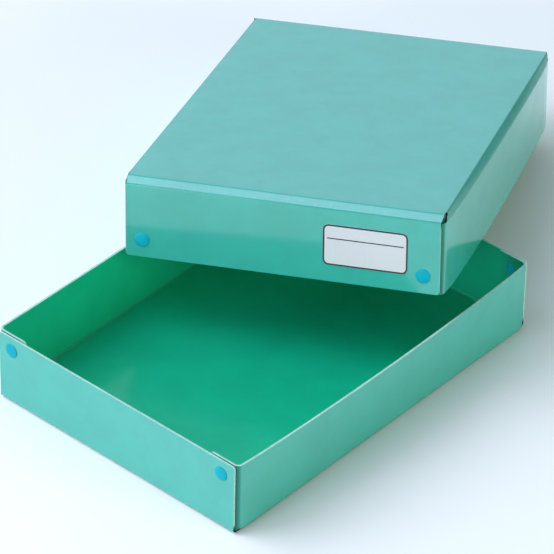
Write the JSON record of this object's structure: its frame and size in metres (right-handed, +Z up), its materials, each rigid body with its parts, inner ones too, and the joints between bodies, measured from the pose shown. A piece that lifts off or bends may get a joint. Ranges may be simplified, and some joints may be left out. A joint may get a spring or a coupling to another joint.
{
  "type": "art supply box",
  "caption": "Shallow folded-board tool box for art supplies: a riveted tray and a lid of the same depth that lifts off and leans on the tray's rim.",
  "frame": {"origin": "middle of the tray's underside, on the table", "axes": "+X along the tray's long side from its front end to its rear end, +Y towards the tray's left side, +Z up out of the tray"},
  "size_m": [0.5245, 0.3589, 0.1425],
  "materials": {
    "green_board": "glossy laminated paper over solid board, pale raw cut edges",
    "blue_plastic": "satin moulded plastic",
    "label_card": "smooth white paper with a dark printed border"
  },
  "bodies": {
    "tray": {"tray_board": "green_board", "tray_front_left_rivet_stud": "blue_plastic", "tray_front_left_rivet_cap": "blue_plastic", "tray_front_right_rivet_stud": "blue_plastic", "tray_front_right_rivet_cap": "blue_plastic", "tray_rear_left_rivet_stud": "blue_plastic", "tray_rear_left_rivet_cap": "blue_plastic", "tray_rear_right_rivet_stud": "blue_plastic", "tray_rear_right_rivet_cap": "blue_plastic"},
    "lid": {"lid_board": "green_board", "lid_front_left_rivet_stud": "blue_plastic", "lid_front_left_rivet_cap": "blue_plastic", "lid_front_right_rivet_stud": "blue_plastic", "lid_front_right_rivet_cap": "blue_plastic", "lid_rear_left_rivet_stud": "blue_plastic", "lid_rear_left_rivet_cap": "blue_plastic", "lid_rear_right_rivet_stud": "blue_plastic", "lid_rear_right_rivet_cap": "blue_plastic", "name_label": "label_card"}
  },
  "joints": [
    {"name": "lid_lift", "type": "slide", "parent": "tray", "child": "lid", "axis": [0, 0, 1], "range_m": [0, 0.15]}
  ]
}
